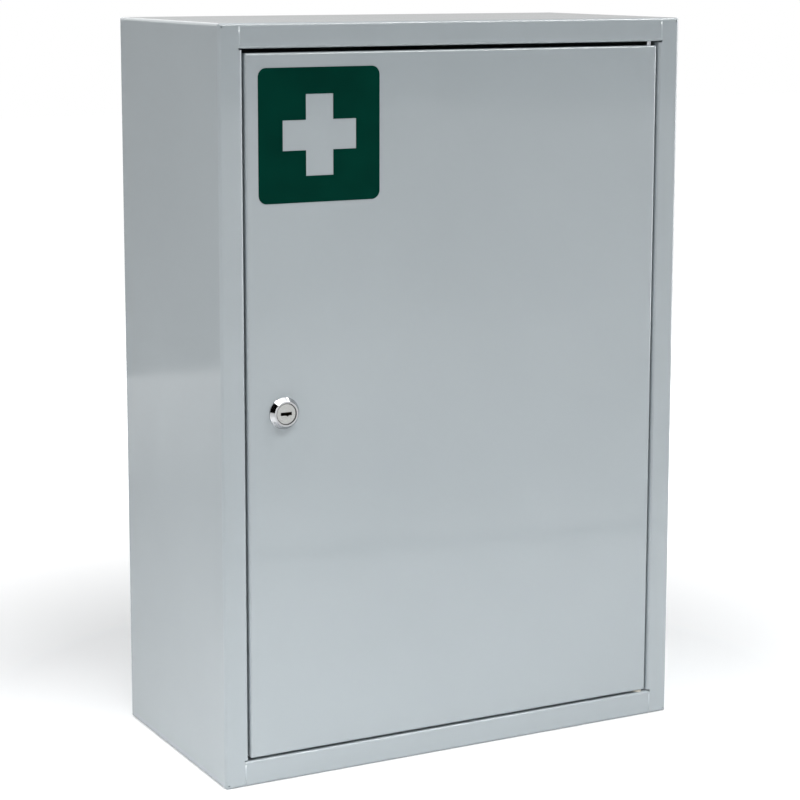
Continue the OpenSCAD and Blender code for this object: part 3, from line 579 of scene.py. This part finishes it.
def weld_mark_tree(material):
    """A spot-weld mark on every point: a flattened rim round a shallow pip, turned outwards."""
    sockets = {"Radius": "NodeSocketFloat", "Rim": "NodeSocketFloat"}
    tree, size = new_tree("spot_weld_marks", sockets)
    circle = "GeometryNodeCurvePrimitiveCircle"
    ring = add_node(tree, circle, {"Resolution": 20, "Radius": size["Radius"]})
    rim = add_node(tree, circle, {"Resolution": 8, "Radius": size["Rim"]})
    tube = add_node(tree, "GeometryNodeCurveToMesh",
                    {"Curve": ring.outputs["Curve"], "Profile Curve": rim.outputs["Curve"]})
    pip = add_node(tree, "GeometryNodeMeshUVSphere",
                   {"Segments": 12, "Rings": 6, "Radius": size["Rim"]})
    wide = add_node(tree, "GeometryNodeTransform",
                    {"Geometry": pip.outputs["Mesh"], "Scale": (3.2, 3.2, 1)})
    both = add_node(tree, "GeometryNodeJoinGeometry")
    for part in (tube.outputs["Mesh"], wide.outputs["Geometry"]):
        tree.links.new(part, both.inputs["Geometry"])
    low = add_node(tree, "GeometryNodeTransform",
                   {"Geometry": both.outputs["Geometry"], "Scale": (1, 1, 0.35)})
    facing = add_node(tree, "GeometryNodeInputNamedAttribute", {"Name": "facing"},
                      data_type="FLOAT_VECTOR")
    turn = add_node(tree, "FunctionNodeAlignRotationToVector",
                    {"Vector": facing.outputs["Attribute"]}, axis="Z")
    placed = add_node(tree, "GeometryNodeInstanceOnPoints", {
        "Points": size["Geometry"], "Instance": low.outputs["Geometry"],
        "Rotation": turn.outputs["Rotation"]})
    smooth = add_node(tree, "GeometryNodeSetShadeSmooth", {"Geometry": placed.outputs["Instances"]})
    end_tree(tree, smooth.outputs["Geometry"], material)
    return tree


def row(start, end, pitch):
    """Evenly spread points from start to end, about pitch apart."""
    start, end = Vector(start), Vector(end)
    count = max(1, round((end - start).length / pitch))
    return [start.lerp(end, i / count) for i in range(count + 1)]


def marks_on(name, rows, body, settings, material):
    """One piece with a spot-weld mark on each point. A row is its points and the way they face."""
    mesh = bpy.data.meshes.new(name)
    points = [(point, facing) for points, facing in rows for point in points]
    mesh.from_pydata([point for point, _ in points], [], [])
    attribute = mesh.attributes.new("facing", "FLOAT_VECTOR", "POINT")
    for i, (_, facing) in enumerate(points):
        attribute.data[i].vector = facing
    piece = bpy.data.objects.new(name, mesh)
    bpy.context.scene.collection.objects.link(piece)
    grow(piece, weld_mark_tree(material), {"Radius": settings.mark_radius, "Rim": settings.mark_rim})
    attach(piece, body)


class CABINET_OT_weld_marks(bpy.types.Operator):
    """Puts spot-weld marks on the uprights, the stiffener and the rear flanges"""
    bl_idname = "cabinet.weld_marks"
    bl_label = "Spot-weld marks"

    def execute(self, context):
        weld = context.scene.cabinet_weld
        material = bpy.data.materials["powder_coated_steel"]
        carcass = []
        for name, way in (("front_left_upright", 1), ("rear_left_upright", 1),
                          ("front_right_upright", -1), ("rear_right_upright", -1)):
            low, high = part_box(name)
            x = low.x + SHEET if way > 0 else high.x - SHEET
            ends = low.z + weld.upright_end, high.z - weld.upright_end
            for y in (low.y + weld.foot, high.y - weld.foot):
                points = row(*((x, y, z) for z in ends), weld.upright_pitch)
                carcass.append((points, (way, 0, 0)))
        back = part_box("back_panel")
        rear_y = cad_box[1].y
        ends = back[0].x + weld.flange_end, back[1].x - weld.flange_end
        for z in (TOP_BOX[1].z - weld.flange_inset, BOTTOM_BOX[0].z + weld.flange_inset):
            carcass.append((row(*((x, rear_y, z) for x in ends), weld.flange_pitch), (0, 1, 0)))
        ends = back[0].z + weld.flange_end, back[1].z - weld.flange_end
        for x in (cad_box[0].x + weld.flange_inset, cad_box[1].x - weld.flange_inset):
            carcass.append((row(*((x, rear_y, z) for z in ends), weld.flange_pitch), (0, 1, 0)))
        marks_on("carcass_weld_marks", carcass, "carcass", weld, material)
        low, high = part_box("door_stiffener")
        y = FRONT_Y + 2 * SHEET
        ends = low.z + weld.stiffener_end, high.z - weld.stiffener_end
        door = [(row(*((x, y, z) for z in ends), weld.flange_pitch), (0, 1, 0))
                for x in (low.x + weld.stiffener_inset, high.x - weld.stiffener_inset)]
        marks_on("door_weld_marks", door, "door", weld, material)
        return {"FINISHED"}


def seam_mesh(name, lines, width, height, y):
    """Low rounded beads on the front, each from one height to another at x."""
    mesh = bpy.data.meshes.new(name)
    bm = bmesh.new()
    steps = 6
    angles = [math.pi * i / steps for i in range(steps + 1)]
    outline = [(math.cos(a) * width / 2, math.sin(a) * height) for a in angles]
    for x, low, high in lines:
        rings = [[bm.verts.new((x + across, y - out, z)) for across, out in outline] for z in (low, high)]
        for i in range(steps):
            bm.faces.new((rings[0][i], rings[0][i + 1], rings[1][i + 1], rings[1][i]))
        for ring in rings:
            bm.faces.new(ring)
        bm.faces.new((rings[0][0], rings[1][0], rings[1][-1], rings[0][-1]))
    bmesh.ops.recalc_face_normals(bm, faces=bm.faces)
    bm.to_mesh(mesh)
    bm.free()
    for polygon in mesh.polygons:
        polygon.use_smooth = len(polygon.vertices) == 4
    return mesh


class CABINET_OT_rail_seams(bpy.types.Operator):
    """Draws the ground weld seams where the rails meet the stiles"""
    bl_idname = "cabinet.rail_seams"
    bl_label = "Rail seams"

    def execute(self, context):
        weld = context.scene.cabinet_weld
        half = (TOP_BOX[1].x - TOP_BOX[0].x) / 2
        x = half - weld.stile_width + weld.seam_inset
        # The gussets lie on the rails' return flanges, which are one sheet thick
        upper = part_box("upper_hinge_gusset")[0].z - SHEET
        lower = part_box("lower_hinge_gusset")[1].z + SHEET
        lines = []
        for side in (-1, 1):
            lines.append((side * x, upper + weld.bend, TOP_BOX[1].z - weld.bend))
            lines.append((side * x, BOTTOM_BOX[0].z + weld.bend, lower - weld.bend))
        mesh = seam_mesh("rail_seams", lines, weld.seam_width, weld.seam_height, FRONT_Y)
        # The lighter paint over the seams is a painted highlight, standing in for the light they catch
        paint = powder_coated_steel(context.scene.cabinet_paint, "powder_coat_with_painted_seam_highlight", weld.seam_painted_highlight)
        new_piece("rail_seams", mesh, paint, "carcass")
        return {"FINISHED"}


def thread_tree(material):
    """Two rows of ridges, one on each round side of the barrel, that rise as a thread does."""
    sockets = {"Turns": "NodeSocketInt", "Pitch": "NodeSocketFloat", "Ridge": "NodeSocketFloat",
               "Radius": "NodeSocketFloat", "Half angle": "NodeSocketFloat"}
    tree, size = new_tree("barrel_thread", sockets)
    start = combine(tree, "SUBTRACT", math.pi / 2, size["Half angle"])
    sweep = combine(tree, "MULTIPLY", size["Half angle"], 2.0)
    ridge_line = add_node(tree, "GeometryNodeCurveArc", {
        "Resolution": 20, "Radius": size["Radius"], "Start Angle": start, "Sweep Angle": sweep})
    profile = add_node(tree, "GeometryNodeCurvePrimitiveCircle",
                       {"Resolution": 4, "Radius": size["Ridge"]})
    ridge = add_node(tree, "GeometryNodeCurveToMesh", {
        "Curve": ridge_line.outputs["Curve"], "Profile Curve": profile.outputs["Curve"],
        "Fill Caps": True})
    slope = combine(tree, "DIVIDE", size["Pitch"], size["Radius"])
    tilt = combine(tree, "DIVIDE", slope, 2 * math.pi)
    lean = add_node(tree, "ShaderNodeCombineXYZ", {1: tilt})
    leaning = add_node(tree, "GeometryNodeTransform", {
        "Geometry": ridge.outputs["Mesh"], "Rotation": lean.outputs["Vector"]})
    other = add_node(tree, "GeometryNodeTransform", {
        "Geometry": leaning.outputs["Geometry"], "Rotation": (0, 0, math.pi)})
    turn = add_node(tree, "GeometryNodeJoinGeometry")
    for part in (leaning, other):
        tree.links.new(part.outputs["Geometry"], turn.inputs["Geometry"])
    step = add_node(tree, "ShaderNodeCombineXYZ", {2: size["Pitch"]})
    axis = add_node(tree, "GeometryNodeMeshLine",
                    {"Count": size["Turns"], "Offset": step.outputs["Vector"]})
    turns = add_node(tree, "GeometryNodeInstanceOnPoints", {
        "Points": axis.outputs["Mesh"], "Instance": turn.outputs["Geometry"]})
    end_tree(tree, turns.outputs["Instances"], material)
    return tree


class CABINET_OT_barrel_thread(bpy.types.Operator):
    """Cuts the thread's ridges on the lock barrel behind its nut"""
    bl_idname = "cabinet.barrel_thread"
    bl_label = "Barrel thread"

    def execute(self, context):
        thread = context.scene.cabinet_thread
        start_y = NUT_BOX[1].y + thread.pitch / 2
        end_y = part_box("lock_stop_washer")[0].y - thread.pitch
        mesh = bpy.data.meshes.new("barrel_thread")
        piece = bpy.data.objects.new("barrel_thread", mesh)
        bpy.context.scene.collection.objects.link(piece)
        mesh = grow(piece, thread_tree(bpy.data.materials["bright_zinc_plate"]), {
            "Turns": int((end_y - start_y) / thread.pitch), "Pitch": thread.pitch, "Ridge": thread.ridge,
            "Radius": thread.radius, "Half angle": math.asin(thread.flats / 2 / thread.radius)})
        along_axis = Matrix.Rotation(-math.pi / 2, 4, "X")
        mesh.transform(Matrix.Translation((LOCK_X, start_y, LOCK_Z)) @ along_axis)
        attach(piece, "door")
        return {"FINISHED"}


def camera_axes(studio):
    """Right, up and backward directions of the camera."""
    a, e, r = studio.azimuth, studio.elevation, studio.roll
    back = Vector((math.sin(a) * math.cos(e), -math.cos(a) * math.cos(e), math.sin(e)))
    level = Vector((math.cos(a), math.sin(a), 0))
    raised = back.cross(level)
    return math.cos(r) * level + math.sin(r) * raised, math.cos(r) * raised - math.sin(r) * level, back


def add_camera(studio, middle):
    data = bpy.data.cameras.new("camera")
    data.lens = studio.focal_length
    data.shift_y = studio.shift
    camera = bpy.data.objects.new("camera", data)
    right, up, back = camera_axes(studio)
    place = middle + up * studio.raised + back * studio.distance
    camera.matrix_world = Matrix((right, up, back)).transposed().to_4x4()
    camera.location = place
    bpy.context.scene.collection.objects.link(camera)
    bpy.context.scene.camera = camera


def add_softbox(name, place, target, width, height, power, spread_angle):
    """Rectangular lamp. Its spread is the angle in degrees over which it shines."""
    data = bpy.data.lights.new(name, "AREA")
    data.shape = "RECTANGLE"
    data.spread = math.radians(spread_angle)
    data.size, data.size_y, data.energy = width, height, power
    lamp = bpy.data.objects.new(name, data)
    bpy.context.scene.collection.objects.link(lamp)
    lamp.matrix_world = (Vector(target) - Vector(place)).to_track_quat("-Z", "Y").to_matrix().to_4x4()
    lamp.location = place


def add_card(name, place, target, width, height, brightness, turn):
    """Card that only shows in gloss and metal, as a studio's panels do. Its turn is in its plane."""
    mesh = bpy.data.meshes.new(name)
    corners = [(-width / 2, -height / 2, 0), (width / 2, -height / 2, 0),
               (width / 2, height / 2, 0), (-width / 2, height / 2, 0)]
    mesh.from_pydata(corners, [], [(0, 1, 2, 3)])
    material = bpy.data.materials.new(name)
    material.use_nodes = True
    tree = material.node_tree
    tree.nodes.clear()
    glow = add_node(tree, "ShaderNodeEmission", {"Strength": brightness})
    add_node(tree, "ShaderNodeOutputMaterial", {"Surface": glow.outputs["Emission"]})
    mesh.materials.append(material)
    card = bpy.data.objects.new(name, mesh)
    bpy.context.scene.collection.objects.link(card)
    facing = (Vector(target) - Vector(place)).to_track_quat("Z", "Y").to_matrix().to_4x4()
    card.matrix_world = facing @ Matrix.Rotation(math.radians(turn), 4, "Z")
    card.location = place
    card.visible_camera = card.visible_diffuse = card.visible_shadow = False
    card.visible_transmission = card.visible_volume_scatter = False


def add_room(studio):
    """World that lights evenly, and is white where the camera, gloss or glass looks at it."""
    world = bpy.data.worlds.new("studio")
    world.use_nodes = True
    tree = world.node_tree
    tree.nodes.clear()
    strength = spread(tree, combine(tree, "MAXIMUM", *ways_of_seeing(tree)), studio.ambient, 1.0, 0, 1)
    glow = add_node(tree, "ShaderNodeBackground", {"Strength": strength})
    glow.inputs["Color"].default_value = (1, 1, 1, 1)
    add_node(tree, "ShaderNodeOutputWorld", {"Surface": glow.outputs["Background"]})
    bpy.context.scene.world = world


# Name, place, target, width, height, power in watts, and spread in degrees
SOFTBOXES = (
    ("overhead", (0.1, 0.0, 2.4), (0, 0, 0), 2.0, 1.6, 3, 180),
    ("front_key", (1.08, -0.98, 2.29), (0.0, -0.1, 0.5), 1.3, 0.35, 27, 180),
    ("front_bounce", (0.1, -0.9, 1.2), (0.18, -0.45, 0), 1.4, 0.5, 2.2, 40),
    ("left_bounce", (-0.9, 0.0, 1.2), (-0.65, 0.0, 0), 0.5, 0.9, 2.2, 52),
    ("right_edge", (1.9, -0.25, 0.35), (0, -0.1, 0.3), 0.35, 0.7, 5, 180),
    ("left_fill", (-1.3, -0.9, 1.0), (-0.1, -0.1, 0.3), 0.5, 0.5, 1.7, 180),
)
# Name, place, target, width, height, brightness, and turn in degrees
CARDS = (
    ("rear_left_card", (-1.2, 1.55, 0.31), (-1.2, 0.0, 0.31), 3.0, 0.62, 0.44, 0),
    ("rear_card", (1.3, 2.2, 0.75), (0.0, 0.0, 0.75), 3.0, 1.1, 0.6, 0),
    ("rear_edge_card", (-0.2, 1.5, 1.22), (-0.2, 0.0, 0.6), 1.6, 0.75, 1.9, 0),
    ("front_right_card", (1.7, -3.13, 1.1), (0.0, -0.1, 1.1), 2.6, 1.6, 0.05, 0),
    ("key_card", (0.2, -0.42, 2.35), (0.2, -0.42, 0.0), 2.6, 1.55, 3.5, 0),
    ("left_card", (-1.3, -0.85, 0.4), (0.0, -0.1, 0.4), 0.5, 0.7, 1.7, 0),
    ("right_card", (1.9, -0.6, 0.4), (0.0, -0.1, 0.4), 1.2, 0.8, 4.0, 0),
    ("black_card", (-1.3, -0.32, 1.3), (0.0, -0.32, 1.3), 0.26, 2.0, 0.0, 0),
    ("floor_line_card", (0.32, -0.664, 0.002), (0.32, -0.664, 1.0), 1.6, 0.055, 0.6, 10.4),
)


class CABINET_OT_studio(bpy.types.Operator):
    """Sets up the pale floor, the soft lights and the camera"""
    bl_idname = "cabinet.studio"
    bl_label = "Studio"

    def execute(self, context):
        studio = context.scene.cabinet_studio
        context.scene.view_settings.view_transform = "Standard"
        low, high = cad_box
        middle = Vector(((low.x + high.x) / 2, (TOP_BOX[0].y + TOP_BOX[1].y) / 2, (low.z + high.z) / 2))
        add_camera(studio, middle)
        mesh = bpy.data.meshes.new("studio_floor")
        r = studio.floor_size / 2
        corners = [(-r, -r, low.z), (r, -r, low.z), (r, r, low.z), (-r, r, low.z)]
        mesh.from_pydata(corners, [], [(0, 1, 2, 3)])
        floor = bpy.data.objects.new("studio_floor", mesh)
        context.scene.collection.objects.link(floor)
        mesh.materials.append(studio_floor(studio))
        add_room(studio)
        for lamp in SOFTBOXES:
            add_softbox(*lamp)
        for card in CARDS:
            add_card(*card)
        return {"FINISHED"}


OPERATORS = (
    CABINET_OT_sheet_metal, CABINET_OT_metal_parts, CABINET_OT_plastic_parts, CABINET_OT_sign,
    CABINET_OT_rail_seams, CABINET_OT_weld_marks, CABINET_OT_barrel_thread, CABINET_OT_studio,
)
SETTINGS = {
    "cabinet_paint": PaintSettings, "cabinet_metal": MetalSettings, "cabinet_plastic": PlasticSettings,
    "cabinet_sign": SignSettings, "cabinet_weld": WeldSettings, "cabinet_thread": ThreadSettings,
    "cabinet_studio": StudioSettings,
}


class CABINET_PT_sidebar(bpy.types.Panel):
    """Lists the cabinet's pieces and its studio"""
    bl_idname = "CABINET_PT_sidebar"
    bl_label = "Medicine cabinet"
    bl_space_type = "VIEW_3D"
    bl_region_type = "UI"
    bl_category = "Cabinet"

    def draw(self, context):
        for operator in OPERATORS:
            self.layout.operator(operator.bl_idname)
        for name, group in SETTINGS.items():
            column = self.layout.column(heading=name.replace("cabinet_", "").capitalize())
            for key in group.__annotations__:
                column.prop(getattr(context.scene, name), key)


def register():
    for group in SETTINGS.values():
        bpy.utils.register_class(group)
    for name, group in SETTINGS.items():
        setattr(bpy.types.Scene, name, PointerProperty(type=group))
    for operator in OPERATORS:
        bpy.utils.register_class(operator)
    bpy.utils.register_class(CABINET_PT_sidebar)


def unregister():
    bpy.utils.unregister_class(CABINET_PT_sidebar)
    for operator in reversed(OPERATORS):
        bpy.utils.unregister_class(operator)
    for name, group in SETTINGS.items():
        delattr(bpy.types.Scene, name)
        bpy.utils.unregister_class(group)


def main():
    register()
    for operator in OPERATORS:
        group, name = operator.bl_idname.split(".")
        getattr(getattr(bpy.ops, group), name)()


if __name__ == "__main__":
    main()
